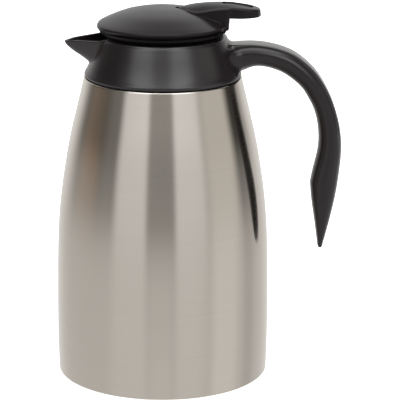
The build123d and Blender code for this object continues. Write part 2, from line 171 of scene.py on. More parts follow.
def lathe(profile, segments=256):
    """Revolves a closed (r, z) loop."""
    a = np.linspace(0, 2 * math.pi, segments, endpoint=False)
    pr = np.asarray(profile, float)
    p = np.zeros((segments, len(pr), 3))
    p[..., 0] = np.cos(a)[:, None] * pr[None, :, 0]
    p[..., 1] = np.sin(a)[:, None] * pr[None, :, 0]
    p[..., 2] = pr[None, :, 1]
    return torus_grid(p)


def join(*parts):
    verts, faces, base = [], [], 0
    for v, f in parts:
        v = np.asarray(v, float)
        verts.append(v)
        faces += [tuple(i + base for i in q) for q in f]
        base += len(v)
    return np.vstack(verts), faces


# =====================================================================
# materials
# =====================================================================


class Nodes:
    def __init__(self, name):
        self.mat = bpy.data.materials.new(name)
        self.mat.use_nodes = True
        self.t = self.mat.node_tree
        self.bsdf = next(n for n in self.t.nodes if n.type == "BSDF_PRINCIPLED")

    def new(self, kind, **values):
        n = self.t.nodes.new(kind)
        for k, v in values.items():
            setattr(n, k, v)
        return n

    def link(self, a, b):
        self.t.links.new(a, b)
        return b

    def put(self, socket, value):
        if hasattr(value, "is_output"):
            self.link(value, socket)
        else:
            socket.default_value = value

    def math(self, op, a, b=0.0, c=None):
        n = self.new("ShaderNodeMath", operation=op)
        self.put(n.inputs[0], a)
        self.put(n.inputs[1], b)
        if c is not None:
            self.put(n.inputs[2], c)
        return n.outputs[0]

    def place(self, scale=(1, 1, 1)):
        """Object coordinates in metres, stretched by scale."""
        c = self.new("ShaderNodeTexCoord")
        m = self.new("ShaderNodeMapping")
        m.inputs["Scale"].default_value = scale
        self.link(c.outputs["Object"], m.inputs["Vector"])
        return m.outputs[0]

    def noise(self, vector, scale, detail=2.0, rough=0.5):
        n = self.new("ShaderNodeTexNoise")
        self.link(vector, n.inputs["Vector"])
        n.inputs["Scale"].default_value = scale
        n.inputs["Detail"].default_value = detail
        n.inputs["Roughness"].default_value = rough
        return n.outputs["Fac"]

    def span(self, value, a, b, lo=0.0, hi=1.0, kind="LINEAR"):
        n = self.new("ShaderNodeMapRange", interpolation_type=kind)
        self.put(n.inputs["Value"], value)
        for i, v in zip(("From Min", "From Max", "To Min", "To Max"), (a, b, lo, hi)):
            self.put(n.inputs[i], v)
        return n.outputs["Result"]

    def mix(self, fac, a, b):
        n = self.new("ShaderNodeMix", data_type="RGBA")
        self.put(n.inputs["Factor"], fac)
        self.put(n.inputs["A"], a)
        self.put(n.inputs["B"], b)
        return n.outputs["Result"]

    def bump(self, height, strength, distance):
        n = self.new("ShaderNodeBump")
        n.inputs["Strength"].default_value = strength
        n.inputs["Distance"].default_value = distance
        self.link(height, n.inputs["Height"])
        return n.outputs["Normal"]

    def ring_coords(self):
        """Angle round the axis in radians, height in metres, and the split object coordinates."""
        c = self.new("ShaderNodeTexCoord")
        s = self.new("ShaderNodeSeparateXYZ")
        self.link(c.outputs["Object"], s.inputs[0])
        ang = self.math("ARCTAN2", s.outputs[1], s.outputs[0])
        return ang, s.outputs[2], s


def rgba(r, g, b):
    return (r, g, b, 1.0)


def brushed_steel(name, base, rough, aniso, line=1.0):
    """Stainless steel ground round its axis: hair lines that run round the body."""
    n = Nodes(name)
    b = n.bsdf
    b.inputs["Metallic"].default_value = 1.0
    b.inputs["Anisotropic"].default_value = aniso
    b.inputs["Anisotropic Rotation"].default_value = 0.25
    tangent = n.new("ShaderNodeTangent", direction_type="RADIAL", axis="Z")
    n.link(tangent.outputs[0], b.inputs["Tangent"])
    # hair lines: very fine in height, long round the body
    lines = n.noise(n.place((26, 26, 7000)), 1.0, 2.0, 0.5)
    coarse = n.noise(n.place((9, 9, 1500)), 1.0, 2.0, 0.5)
    cloud = n.noise(n.place((1, 1, 1)), 16.0, 3.0, 0.55)
    tone = n.math("ADD", n.math("MULTIPLY", lines, 0.5), n.math("MULTIPLY", coarse, 0.5))
    light = rgba(*[min(1.0, c * 1.017) for c in base])
    dark = rgba(*[c * 0.983 for c in base])
    n.link(n.mix(n.span(tone, 0.36, 0.64), dark, light), b.inputs["Base Color"])
    r = n.math("ADD", n.span(tone, 0.3, 0.7, rough - 0.008, rough + 0.008), n.span(cloud, 0.35, 0.65, -0.008, 0.008))
    n.link(r, b.inputs["Roughness"])
    n.link(n.bump(lines, 0.035 * line, 0.00001), b.inputs["Normal"])
    return n.mat


def moulded_plastic(name, base, rough, ior=1.5, grain=1.0, spread=0.03, edge=True, edge_wear_and_highlight=0.35):
    """Injection-moulded polypropylene: fine spark-eroded grain, slight tone drift, and convex corners lightened,
    partly as rubbed wear and partly as a painted highlight.
    """
    n = Nodes(name)
    b = n.bsdf
    b.inputs["IOR"].default_value = ior
    fine = n.noise(n.place((1, 1, 1)), 2600.0, 2.0, 0.6)
    mid = n.noise(n.place((1, 1, 1)), 700.0, 2.0, 0.5)
    cloud = n.noise(n.place((1, 1, 1)), 28.0, 3.0, 0.5)
    lo = rgba(*[c * 0.86 for c in base])
    hi = rgba(*[c * 1.16 for c in base])
    colour = n.mix(n.span(cloud, 0.3, 0.7), lo, hi)
    r = n.span(cloud, 0.3, 0.7, rough - spread, rough + spread)
    if edge:
        geo = n.new("ShaderNodeNewGeometry")
        # convex corners: base colour lightened in patches, partly rubbed wear and partly a painted highlight;
        # roughness drops there too
        rubbed_and_lit_edge = n.span(geo.outputs["Pointiness"], 0.53, 0.60)
        rubbed_and_lit_edge = n.math("MULTIPLY", rubbed_and_lit_edge, n.span(mid, 0.35, 0.6))
        colour = n.mix(n.math("MULTIPLY", rubbed_and_lit_edge, edge_wear_and_highlight), colour, rgba(*[c * 1.8 + 0.004 for c in base]))
        r = n.math("SUBTRACT", r, n.math("MULTIPLY", rubbed_and_lit_edge, 0.06))
    n.link(colour, b.inputs["Base Color"])
    n.link(r, b.inputs["Roughness"])
    h = n.math("ADD", n.math("MULTIPLY", fine, 0.6), n.math("MULTIPLY", mid, 0.4))
    n.link(n.bump(h, 0.10 * grain, 0.00005), b.inputs["Normal"])
    return n.mat


def plain_metal(name, base, rough, grain=900.0):
    n = Nodes(name)
    b = n.bsdf
    b.inputs["Metallic"].default_value = 1.0
    f = n.noise(n.place((1, 1, 1)), grain, 3.0, 0.6)
    n.link(n.mix(f, rgba(*[c * 0.88 for c in base]), rgba(*[min(1, c * 1.08) for c in base])), b.inputs["Base Color"])
    n.link(n.span(f, 0.3, 0.7, rough - 0.05, rough + 0.05), b.inputs["Roughness"])
    n.link(n.bump(f, 0.08, 0.00004), b.inputs["Normal"])
    return n.mat


def rubbery(name, base, rough=0.62, grain=1800.0):
    n = Nodes(name)
    b = n.bsdf
    b.inputs["IOR"].default_value = 1.41
    f = n.noise(n.place((1, 1, 1)), grain, 2.0, 0.5)
    n.link(n.mix(f, rgba(*[c * 0.8 for c in base]), rgba(*[c * 1.25 for c in base])), b.inputs["Base Color"])
    n.link(n.span(f, 0.3, 0.7, rough - 0.05, rough + 0.05), b.inputs["Roughness"])
    n.link(n.bump(f, 0.15, 0.00006), b.inputs["Normal"])
    return n.mat


def foamy(name, base):
    n = Nodes(name)
    b = n.bsdf
    v = n.new("ShaderNodeTexVoronoi")
    n.link(n.place((1, 1, 1)), v.inputs["Vector"])
    v.inputs["Scale"].default_value = 1100.0
    n.link(n.mix(n.span(v.outputs["Distance"], 0, 0.6), rgba(*base), rgba(*[c * 0.82 for c in base])),
           b.inputs["Base Color"])
    b.inputs["Roughness"].default_value = 0.9
    n.link(n.bump(v.outputs["Distance"], 0.5, 0.0002), b.inputs["Normal"])
    return n.mat


STEEL = (0.588, 0.545, 0.494)
PLASTIC = (0.0092, 0.0068, 0.0084)
steel_mat = brushed_steel("steel_brushed", STEEL, 0.165, 0.85)
base_mat = brushed_steel("steel_base", STEEL, 0.30, 0.6)
inner_mat = plain_metal("steel_inner", (0.62, 0.60, 0.57), 0.30)
fastener_mat = plain_metal("steel_fastener", (0.70, 0.69, 0.67), 0.22)
getter_mat = plain_metal("getter_metal", (0.45, 0.45, 0.44), 0.55)
body_plastic = moulded_plastic("plastic_charcoal", PLASTIC, 0.27, 1.57)
lid_plastic = moulded_plastic("plastic_charcoal_lid", PLASTIC, 0.31, 1.27)
grip_plastic = moulded_plastic("plastic_charcoal_grip", PLASTIC, 0.24, 1.44)
strip_plastic = moulded_plastic("plastic_charcoal_strip", PLASTIC, 0.22, 1.62)
inner_plastic = moulded_plastic("plastic_inner", (0.015, 0.015, 0.016), 0.42, edge=False)
silicone = rubbery("silicone_dark", (0.006, 0.006, 0.0065))
# painted shade: the ring under the lid's rim gets a near-black, dull, weakly reflecting plastic so it reads as the
# shaded gap under the lid
shaded_undercut_plastic = moulded_plastic("plastic_undercut_painted_shade", (0.0035, 0.0035, 0.0037), 0.45, 1.22, edge=False)
foam = foamy("foam_white", (0.80, 0.79, 0.75))

# =====================================================================
# steel shell
# =====================================================================
shell_pts = [(69.60, 2.4), (69.85, 10), (70.20, 30), (70.05, 60), (69.45, 90), (67.80, 115), (64.40, 140),
             (60.80, 160), (56.10, 180), (51.60, 199.0)]
shell_r = Spline([p[1] for p in shell_pts], [p[0] for p in shell_pts])


def shell_radius(z):
    return np.minimum(shell_r(z), 70.19)


zz = np.linspace(2.4, 198.0, 150)
wall = np.stack([shell_radius(zz), zz], 1)
top = rounded([(shell_radius([198.0])[0], 198.0), (51.55, 199.22), (50.2, 199.5), (48.3, 199.9), (41.2, 202.2),
               (37.6, 204.1), (35.6, 206.3), (35.6, 212.0)], [0, 0.8, 1.5, 4, 3, 2, 2, 0], 5)
t = 0.7
inside = [(34.9, 212.0), (34.9, 206.0), (37.1, 203.6), (40.9, 201.55), (48.1, 199.35), (50.2, 199.0), (50.8, 198.4)]
zi = np.linspace(197.0, 10.0, 60)
inner_wall = np.stack([shell_radius(zi) - t, zi], 1)
foot = rounded([(68.9, 8.0), (68.75, 0.7), (64.2, 0.7), (64.2, 4.0), (63.5, 4.0), (63.5, 0.0), (69.55, 0.0),
                (69.60, 2.4)], [0, 2.0, 0.3, 0.2, 0.2, 0.25, 2.1, 0], 7)
shell_loop = np.vstack([wall, top[1:], inside, inner_wall, foot[:-1]])
make("shell", *lathe(shell_loop, 288), steel_mat, "carafe", "brushed_steel",
     ("outer_shell", "outer_base", "outer_neck"), 40)

# =====================================================================
# collar and spout: one wall, its radius worked out for every direction
# =====================================================================
collar_pts = [(51.30, 201.5), (51.12, 202.2), (50.68, 203.0), (50.1, 203.9), (48.6, 206.9), (46.55, 212.0),
              (44.75, 217.0), (43.28, 221.1), (42.25, 223.9), (41.75, 225.05), (41.1, 225.85)]
_d = np.array([0] + [math.dist(collar_pts[i], collar_pts[i + 1]) for i in range(len(collar_pts) - 1)]).cumsum()
_c = Spline(_d, collar_pts)(np.linspace(0, _d[-1], 400))
cone_z, cone_rr = _c[:, 1], _c[:, 0]


def cone_radius(z):
    z = np.asarray(z, float)
    r = np.interp(z, cone_z, cone_rr)
    return np.where(z > cone_z[-1], cone_rr[-1] - (z - cone_z[-1]) * 1.6, r)


def rim_half(x):
    """Half width of the spout at its rim, x counted towards the tip."""
    x = np.asarray(x, float)
    return (0.548 * np.sqrt(np.maximum(64.0 - x, 0) * np.maximum(68.0 - x, 0))
            + 2.0 * np.sqrt(np.clip((64.0 - x) / 7.0, 0, 1)))


def rim_z(x):
    return 222.8 + (64.0 - np.asarray(x, float)) * 0.073 + 0.5 * smooth(64.0, 58.0, x)


under_pts = [(36, 198.0), (40, 201.5), (44, 205.0), (47.7, 208.4), (50.9, 211.1), (54.8, 213.8), (58.7, 216.4),
             (61.4, 218.6), (63.1, 220.4), (64.0, 222.0)]
_u = Spline([p[0] for p in under_pts], [p[1] for p in under_pts])
floor_pts = [(36.0, 215.2), (40.6, 216.1), (45.0, 217.0), (50.9, 218.4), (56.5, 219.9), (60.8, 221.3), (64.5, 222.3)]

ray = np.arange(36.0, 64.6, 0.04)


def last_inside(inside_mask):
    """Largest ray radius that is inside, per row; 0 where none is."""
    any_in = inside_mask.any(-1)
    idx = inside_mask.shape[-1] - 1 - np.argmax(inside_mask[..., ::-1], axis=-1)
    return np.where(any_in, ray[idx], 0.0)


def refine(fn, r0, n=7):
    lo, hi = r0.copy(), r0 + 0.04
    for _ in range(n):
        mid = (lo + hi) / 2
        ok = fn(mid)
        lo, hi = np.where(ok, mid, lo), np.where(ok, hi, mid)
    return (lo + hi) / 2


def in_spout(r, s, c, z):
    x = r * c
    zb, zt = _u(np.ravel(x)).reshape(x.shape), rim_z(x)
    tt = np.clip((z - zb) / (zt - zb), 0, 1)
    w = rim_half(x) * (1 - (1 - tt) ** 2.5) ** 0.42
    return (r * s < w) & (z > zb) & (x < 64.0)


def in_channel(r, s, c, z):
    x = r * c
    zf = np.interp(x, [p[0] for p in floor_pts], [p[1] for p in floor_pts])
    tt = np.clip((z - zf) / 3.4, 0, 1)
    w = np.maximum(rim_half(x + 0.9) - 1.15, 0) * np.sqrt(1 - (1 - tt) ** 2)
    return (r * s < w) & (z > zf)


def smooth_max(a, b, k):
    h = np.clip(0.5 + 0.5 * (a - b) / k, 0, 1)
    return b * (1 - h) + a * h + k * h * (1 - h)


off = np.concatenate([np.arange(0, 26, 0.5), np.arange(26, 40, 1.0), np.arange(40, 180, 1.75)])
off = np.concatenate([off, [180.0], -off[:0:-1]])          # degrees from the spout
rows_out, rows_in = 60, 26
row_u = np.linspace(0, 1, rows_out) ** 0.93
cols = []
for dd in off:
    s, c = abs(math.sin(math.radians(dd))), math.cos(math.radians(dd))
    zt, r_rim = 226.45, 0.0
    if c > 0.85:
        test = ray * s < rim_half(ray * c)
        r_rim = float(ray[np.nonzero(test)[0][-1]]) if test.any() else 0.0
        if s < 1e-9:
            r_rim = 64.0
        zt = float(226.45 + (rim_z(r_rim * c) - 226.45) * smooth(40.2, 45.5, r_rim))
    back = float(smooth(135, 165, abs(dd)))               # a softer rim under the lever
    rise = 0.6 + 1.0 * back
    zrow = 201.5 + (zt - rise - 201.5) * row_u
    ro = cone_radius(zrow)
    ri_z = np.linspace(zt - 0.55, 209.2, rows_in)
    ri = np.full(rows_in, 38.4)
    if c > 0.85:
        mask = in_spout(ray[None, :], s, c, zrow[:, None])
        rs = last_inside(mask)
        rs = np.where(rs > 0, refine(lambda r: in_spout(r, s, c, zrow), rs), 0)
        ro = np.where(rs > 0, smooth_max(ro, rs, 1.6), ro)
        mask = in_channel(ray[None, :], s, c, ri_z[:, None])
        rc = last_inside(mask)
        ri = np.maximum(ri, rc)
    ro_top = ro[-1]
    ri = np.minimum(ri, ro_top - 1.2)
    ri_top = ri[0]
    e = 0.52 + 1.95 * back
    arc = [(ro_top - e * (1 - math.cos(a)) - 0.02, zt - rise + rise * math.sin(a))
           for a in np.radians([20, 38, 55, 72, 90])]
    arc += [(ri_top + 0.42 * (1 - math.cos(a)), zt - 0.5 + 0.5 * math.sin(a)) for a in np.radians([90, 60, 30])]
    loop = [(46.6, 202.4), (49.6, 201.0), (49.9, 200.2), (50.15, 199.98), (50.5, 200.02), (50.85, 200.28),
            (51.12, 200.7), (51.26, 201.1)]
    loop += list(zip(ro, zrow)) + arc + list(zip(ri, ri_z))
    loop += [(36.4, 209.2), (36.4, 206.9), (40.4, 206.9)]
    a = math.radians(180.0 - dd)
    lp = np.array(loop)
    cols.append(np.stack([lp[:, 0] * math.cos(a), lp[:, 0] * math.sin(a), lp[:, 1]], 1))
make("collar_shell", *torus_grid(np.array(cols)), body_plastic, "carafe", "black_plastic", ("collar",), 38)

# =====================================================================
# handle and the strip along its back
# =====================================================================
stations = np.array([
    (38.0, 221.0, 40.0, 201.0, 14.2), (44.0, 221.5, 46.0, 202.8, 13.0), (50.1, 221.9, 51.6, 204.6, 11.7),
    (56.6, 222.0, 57.0, 206.9, 11.1), (63.1, 221.7, 62.5, 207.8, 11.0), (70.9, 220.5, 68.5, 207.0, 11.0),
    (78.7, 218.3, 74.3, 205.2, 11.0), (86.0, 215.0, 79.5, 202.7, 11.0), (92.5, 210.3, 84.3, 199.3, 11.0),
    (98.3, 204.8, 88.5, 195.6, 11.0), (103.4, 198.2, 92.3, 191.2, 11.0), (107.6, 190.9, 95.5, 185.6, 11.0),
    (110.9, 183.8, 98.0, 180.5, 11.0), (113.5, 176.3, 100.0, 174.6, 10.9), (115.6, 168.5, 101.4, 167.8, 10.8),
    (117.0, 160.0, 102.1, 160.0, 10.7), (117.5, 151.5, 101.8, 152.0, 10.5), (117.1, 143.0, 100.4, 144.4, 10.4),
    (116.3, 135.0, 98.7, 137.0, 10.3), (115.5, 128.0, 97.1, 128.6, 10.2), (114.0, 118.5, 97.9, 119.2, 10.0),
    (112.2, 109.7, 99.2, 110.0, 9.6), (110.2, 101.0, 100.6, 101.0, 8.9), (108.1, 92.5, 101.8, 92.5, 7.5),
    (106.5, 86.2, 102.7, 86.2, 5.2)])
k = np.arange(len(stations), dtype=float)
outer_c, width_c = Spline(k, stations[:, 0:2]), Spline(k, stations[:, 4])
corner = 19
inner_a = Spline(k[:corner + 1], stations[:corner + 1, 2:4])
inner_b = Spline(k[corner:], stations[corner:, 2:4])
ts = np.concatenate([np.linspace(0.45, 5.0, 92), np.linspace(5.0, corner, 80)[1:],
                     np.linspace(corner, len(k) - 1, 34)[1:]])
t_end = ts[-1]
O = outer_c(ts)
I = np.where((ts <= corner)[:, None], inner_a(np.minimum(ts, corner)), inner_b(np.maximum(ts, corner)))
W = width_c(ts)
nrm = (O - I) / np.linalg.norm(O - I, axis=1)[:, None]
O = O + nrm * (0.12 * smooth(14.0, 9.0, ts))[:, None]
I = I - nrm * (1.25 * np.clip(nrm[:, 1], 0, 1))[:, None]
W = W * (1.0 + 0.09 * smooth(1.0, 4.0, ts))
# the rounded point of the blade
tip_n = 9
c_end, h_end, w_end = (O[-1] + I[-1]) / 2, (O[-1] - I[-1]) / 2, W[-1]
for i in range(1, tip_n + 1):
    a = math.pi / 2 * i / tip_n
    f = max(math.cos(a), 0.04)
    cc = c_end + np.array([0.0, -2.95 * math.sin(a)])
    O = np.vstack([O, cc + h_end * f])
    I = np.vstack([I, cc - h_end * f])
    W = np.append(W, w_end * f)
    ts = np.append(ts, t_end + 0.35 * math.sin(a))


def resample(path, n):
    p = np.asarray(path, float)
    d = np.concatenate([[0], np.linalg.norm(np.diff(p, axis=0), axis=1).cumsum()])
    u = np.linspace(0, d[-1], n)
    return np.stack([np.interp(u, d, p[:, 0]), np.interp(u, d, p[:, 1])], 1)


def bezier(p0, p1, p2, p3, n):
    u = np.linspace(0, 1, n)[:, None]
    return (1 - u) ** 3 * p0 + 3 * (1 - u) ** 2 * u * p1 + 3 * (1 - u) * u ** 2 * p2 + u ** 3 * p3


def sections(t, T, hw):
    """Half sections (y, depth) of the grip and of the strip on its back."""
    low = float(smooth(10.5, 16.5, t))                    # the groove beside the strip fades out downwards
    blade = float(smooth(15.5, 21.0, t))
    kx = hw / 11.0
    root = float(smooth(3.3, 0.6, t))                     # everything softens and widens towards the collar
    sh = (8.1 - 0.5 * low) * min(kx, 1.0)
    kd = min(1.0, T / 15.0)
    dw = T * (0.36 * (1 - low) + 0.50 * low)
    ell = lambda y: dw * (1 - np.sqrt(np.maximum(1 - (y / hw) ** 2, 0)))
    # grip, upper kind: a narrow groove, then a full shoulder
    gd, rd = 2.9 + 1.2 * root, 1.75 + 1.4 * root
    up = rounded([(sh + 0.30 * kx, gd * kd), (sh + 0.8 * kx, gd * kd), (sh + 1.05 * kx, rd * kd),
                  (hw - 2.1 * kx, (rd + 0.42) * kd), (hw - 0.95 * kx, (rd + 1.7) * kd), (hw - 0.12 * kx, (rd + 3.3) * kd),
                  (hw, max(dw, (rd + 4.2) * kd))],
                 [0, 0.15 + 0.6 * root, 0.35 * kd + 0.8 * root, 2.4 * kd, 2.4 * kd, 2.0, 0], 6)
    a0 = math.asin(min(0.98, (sh + 0.14 * kx) / hw))
    a = a0 + (math.pi / 2 - a0) * np.linspace(0, 1, 40)
    dn = np.stack([hw * np.sin(a), dw * (1 - np.cos(a))], 1)
    outer = resample(up, 32) * (1 - low) + resample(dn, 32) * low
    d0 = max(dw, (rd + 4.2) * kd) * (1 - low) + dw * low
    p0 = np.array([hw, d0])
    belly = bezier(p0, np.array([hw - 0.6 * (1 - low) * kx, d0 + (0.46 + 0.14 * blade) * (T - d0)]),
                   np.array([(0.70 + 0.16 * blade) * hw, T]), np.array([0.0, T]), 22)[1:]
    seat = max((gd + 0.05) * kd * (1 - low), float(ell(sh)) + 0.45 * kd)
    grip = np.vstack([[(0, seat + 0.03), (sh * 0.6, seat + 0.03), (sh + 0.12 * kx, seat + 0.03)], outer, belly])
    # strip
    r = 0.7 * kd + 0.9 * root
    us = rounded([(0, 0), (sh * 0.5, 0.07 * kd), (sh * 0.98, 0.32 * kd), (sh + 0.22 * kx, (gd - 0.15) * kd)], [0, 8, r, 0], 7)
    q = np.linspace(0, math.pi / 2, 40)
    soft = np.stack([sh * np.sin(q) ** 0.9, (gd - 0.15) * kd * (1 - np.cos(q) ** 0.8)], 1)
    y = np.linspace(0, sh, 24)
    ds = np.stack([y, ell(y)], 1)
    ds = np.vstack([ds[:-1], [(sh - 0.12 * kd, float(ell(sh)) + 0.02), (sh + 0.02 * kx, float(ell(sh)) + 0.2 * kd)]])
    us = resample(us, 34) * (1 - 0.35 * root) + resample(soft, 34) * 0.35 * root
    top = us * (1 - low) + resample(ds, 34) * low
    strip = np.vstack([top, [(sh + 0.05 * kx, seat), (sh * 0.5, seat), (0, seat)]])
    return grip, strip


def handle_curves(kind):
    rings = []
    for i in range(len(ts)):
        o, q, hw = O[i], I[i], W[i]
        T = np.linalg.norm(o - q)
        n = (o - q) / T
        half = sections(ts[i], T, hw)[0 if kind == "grip" else 1]
        ring = np.vstack([half, half[1:-1][::-1] * [-1, 1]])
        rings.append(np.stack([o[0] - n[0] * ring[:, 1], ring[:, 0], o[1] - n[1] * ring[:, 1]], 1))
    return np.array(rings)


def rooted(rings, r_side, r_top):
    """Starts the loft on the collar: every lengthwise line leaves the cone's surface on a fillet."""
    tj = 5.0
    jn = int(np.nonzero(ts >= tj - 1e-9)[0][0])
    near = rings[:jn + 1]
    f = np.hypot(near[..., 0], near[..., 1]) - cone_radius(near[..., 2])
    m = rings.shape[1]
    n_line, n_arc = 26, 9
    out = np.zeros((n_line + n_arc + 1, m, 3))
    mid = (O + I)[:jn + 1] / 2                            # both pieces flare away from the handle's own middle
    ctr = np.stack([mid[:, 0], 0 * mid[:, 0], mid[:, 1]], 1)
    for j in range(m):
        i = int(np.nonzero(f[:, j] > 0)[0][0])
        u = -f[i - 1, j] / (f[i, j] - f[i - 1, j])
        C = near[i - 1, j] * (1 - u) + near[i, j] * u
        line = np.vstack([[C], near[i:, j]])
        d = np.concatenate([[0], np.linalg.norm(np.diff(line, axis=0), axis=1).cumsum()])
        z = C[2]
        slope = float((cone_radius(z + 0.4) - cone_radius(z - 0.4)) / 0.8)
        er = np.array([C[0], C[1], 0]) / math.hypot(C[0], C[1])
        N = er - np.array([0, 0, slope])
        N /= np.linalg.norm(N)
        away = C - ctr[i]
        nn = away / np.linalg.norm(away)
        g = nn - (nn @ N) * N
        g /= max(np.linalg.norm(g), 1e-6)
        up = float(np.clip(g[2], 0, 1))
        r = r_side * (1 - up) + r_top * up
        r = min(r, max(0.5, (225.3 - z) / max(g[2], 0.05))) if g[2] > 0 else min(r, max(0.5, (z - 202.0) / max(-g[2], 0.05)))
        Q = C + g * r
        rq = math.hypot(Q[0], Q[1])
        Q[:2] *= float(cone_radius(Q[2])) / rq
        P = np.array([np.interp(r, d, line[:, c]) for c in range(3)])
        nq = np.array([Q[0] / rq, Q[1] / rq, -float((cone_radius(Q[2] + 0.4) - cone_radius(Q[2] - 0.4)) / 0.8)])
        nq /= np.linalg.norm(nq)
        knee = C + ((Q - C) @ nq) * nq                    # so that the fillet starts tangent to the cone
        deep = Q - nq * 0.9
        arc = [(1 - v) ** 2 * Q + 2 * (1 - v) * v * knee + v * v * P for v in np.linspace(0, 1, n_arc)]
        dd = np.linspace(r, d[-1], n_line + 1)[1:]
        rest = np.stack([np.interp(dd, d, line[:, c]) for c in range(3)], 1)
        out[:, j] = np.vstack([[deep], arc, rest])
    return np.vstack([out, rings[jn + 1:]])


make("handle_grip", *tube_grid(rooted(handle_curves("grip"), 9.0, 4.2)), grip_plastic, "carafe", "black_plastic", ("handle",), 40)
make("handle_strip", *tube_grid(rooted(handle_curves("strip"), 4.8, 3.6)), strip_plastic, "carafe", "black_plastic", ("handle_spine",), 40)

# =====================================================================
# flip lid: dome with the V-shaped pocket
# =====================================================================
dome_pts = [(0, 244.9), (6.4, 244.8), (12.3, 244.4), (18.2, 243.5), (24.1, 242.25), (30.0, 240.38), (35.9, 237.85),
            (39.9, 235.95), (41.7, 234.98)]
_dm = [(-r, z) for r, z in dome_pts[:0:-1]] + dome_pts
dome_s = Spline([p[0] for p in _dm], [p[1] for p in _dm])
RIM = 41.7


def dome_z(x, y):
    r = np.hypot(x, y)
    return dome_s(np.ravel(np.minimum(r, RIM))).reshape(np.shape(r)) if np.ndim(r) else float(dome_s([min(r, RIM)])[0])


vee_pts = [(7.4, 0.0), (8.6, 1.8), (12.0, 5.2), (16.4, 10.0), (20.1, 13.6), (23.9, 16.6), (26.8, 18.6), (29.6, 20.6),
           (32.4, 22.6), (34.45, 23.85)]
_vd = np.array([0] + [math.dist(vee_pts[i], vee_pts[i + 1]) for i in range(len(vee_pts) - 1)]).cumsum()
vee_line = Spline(_vd, vee_pts)(np.linspace(0, _vd[-1], 46))
vee_line[0] = (7.4, 0.0)
vee_line[-1] *= RIM / np.linalg.norm(vee_line[-1])


def vee_half(x):
    return np.interp(x, vee_line[:, 0], vee_line[:, 1])


def circle_points(radius, n):
    a = np.linspace(0, 2 * math.pi, n, endpoint=False)
    return np.stack([radius * np.cos(a), radius * np.sin(a)], 1)


def fill_points(radius, step):
    pts = [(0.0, 0.0)]
    r = step
    while r < radius - 0.5 * step:
        n = max(6, int(2 * math.pi * r / step))
        a = np.linspace(0, 2 * math.pi, n, endpoint=False) + (r * 1.7)
        pts += list(zip(r * np.cos(a), r * np.sin(a)))
        r += step
    return np.array(pts)


def triangulate(points, edges):
    out = delaunay_2d_cdt([Vector(p) for p in points], edges, [], 0, 1e-6)
    return np.array([tuple(v) for v in out[0]]), [tuple(f) for f in out[2]], out[1]


seg = 240
v_ang = math.atan2(vee_line[-1][1], vee_line[-1][0])
angles = [a for a in np.linspace(0, 2 * math.pi, seg, endpoint=False)
          if min(abs(a - v_ang), abs(a - (2 * math.pi - v_ang))) > 0.010]
angles = sorted(angles + [v_ang, 2 * math.pi - v_ang])
seg = len(angles)
ring_pts = np.stack([RIM * np.cos(angles), RIM * np.sin(angles)], 1)
near = vee_line[:0:-1] * [1, -1]                       # from the rim to the tip, -Y side
path = np.vstack([near, vee_line])                     # rim, tip, rim
inner_pts = fill_points(RIM - 0.6, 1.25)
dist = np.min(np.linalg.norm(inner_pts[:, None] - path[None], axis=2), axis=1)
inner_pts = inner_pts[dist > 0.55]
cdt_pts = np.vstack([ring_pts, path[1:-1], inner_pts])
i_a, i_b = angles.index(2 * math.pi - v_ang), angles.index(v_ang)
chain = [i_a] + list(range(seg, seg + len(path) - 2)) + [i_b]
edges = [(i, (i + 1) % seg) for i in range(seg)] + [(chain[i], chain[i + 1]) for i in range(len(chain) - 1)]
pts2, tris, _ = triangulate(cdt_pts, edges)
assert len(pts2) == len(cdt_pts)


def in_vee(p):
    return p[0] > 7.4 and abs(p[1]) < vee_half(p[0]) if p[0] < vee_line[-1][0] else abs(
        math.atan2(p[1], p[0])) < v_ang + 1e-6


POCKET = 1.35
top_v = np.column_stack([pts2, dome_z(pts2[:, 0], pts2[:, 1])])
low_v = top_v - [0, 0, POCKET]
nv = len(pts2)
verts = np.vstack([top_v, low_v])
faces = []
for f in tris:
    cxy = pts2[list(f)].mean(0)
    faces.append(tuple(i + nv for i in f) if in_vee(cxy) else f)
for i in range(len(chain) - 1):
    a, b = chain[i], chain[i + 1]
    faces.append((a, b, b + nv, a + nv))
i = i_a
while i != i_b:
    j = (i + 1) % seg
    faces.append((i, j, j + nv, i + nv))
    i = j
# the rim: a soft edge, then an undercut band; towards the spout it hangs lower and wider
rim_front = rounded([(41.7, 234.98), (42.6, 234.45), (42.35, 233.5), (41.5, 232.45), (40.9, 231.85), (40.75, 231.3),
                     (40.3, 231.3), (39.9, 232.4), (38.6, 233.7), (34.6, 236.1), (28.6, 238.2), (22.0, 239.9),
                     (14.0, 241.2), (6.0, 241.9)], [0, 0.75, 1.4, 1.2, 0.4, 0.15, 0.15, 0, 3, 3, 3, 3, 3, 0], 5)[1:]
rim_left = rounded([(41.7, 234.98), (42.5, 234.25), (43.0, 232.9), (42.8, 231.9), (42.35, 231.35), (42.1, 231.12),
                    (40.5, 231.12), (40.2, 232.4), (38.9, 233.7), (34.6, 236.1), (28.6, 238.2), (22.0, 239.9),
                    (14.0, 241.2), (6.0, 241.9)], [0, 0.75, 1.2, 1.0, 0.3, 0.2, 0.2, 0, 3, 3, 3, 3, 3, 0], 5)[1:]
assert len(rim_front) == len(rim_left)
left_w = smooth(58.0, 20.0, 180.0 - np.abs((np.degrees(angles) + 180.0) % 360.0 - 180.0))
base = len(verts)
extra = []
for pf, pl in zip(rim_front, rim_left):
    r = pf[0] * (1 - left_w) + pl[0] * left_w
    z = pf[1] * (1 - left_w) + pl[1] * left_w
    extra.append(np.stack([r * np.cos(angles), r * np.sin(angles), z], 1))
extra.append(np.array([[0, 0, 242.0]]))
verts = np.vstack([verts] + extra)
prev = list(range(seg))
for j in range(len(rim_front)):
    cur = [base + j * seg + i for i in range(seg)]
    faces += [(prev[i], prev[(i + 1) % seg], cur[(i + 1) % seg], cur[i]) for i in range(seg)]
    prev = cur
tip_i = len(verts) - 1
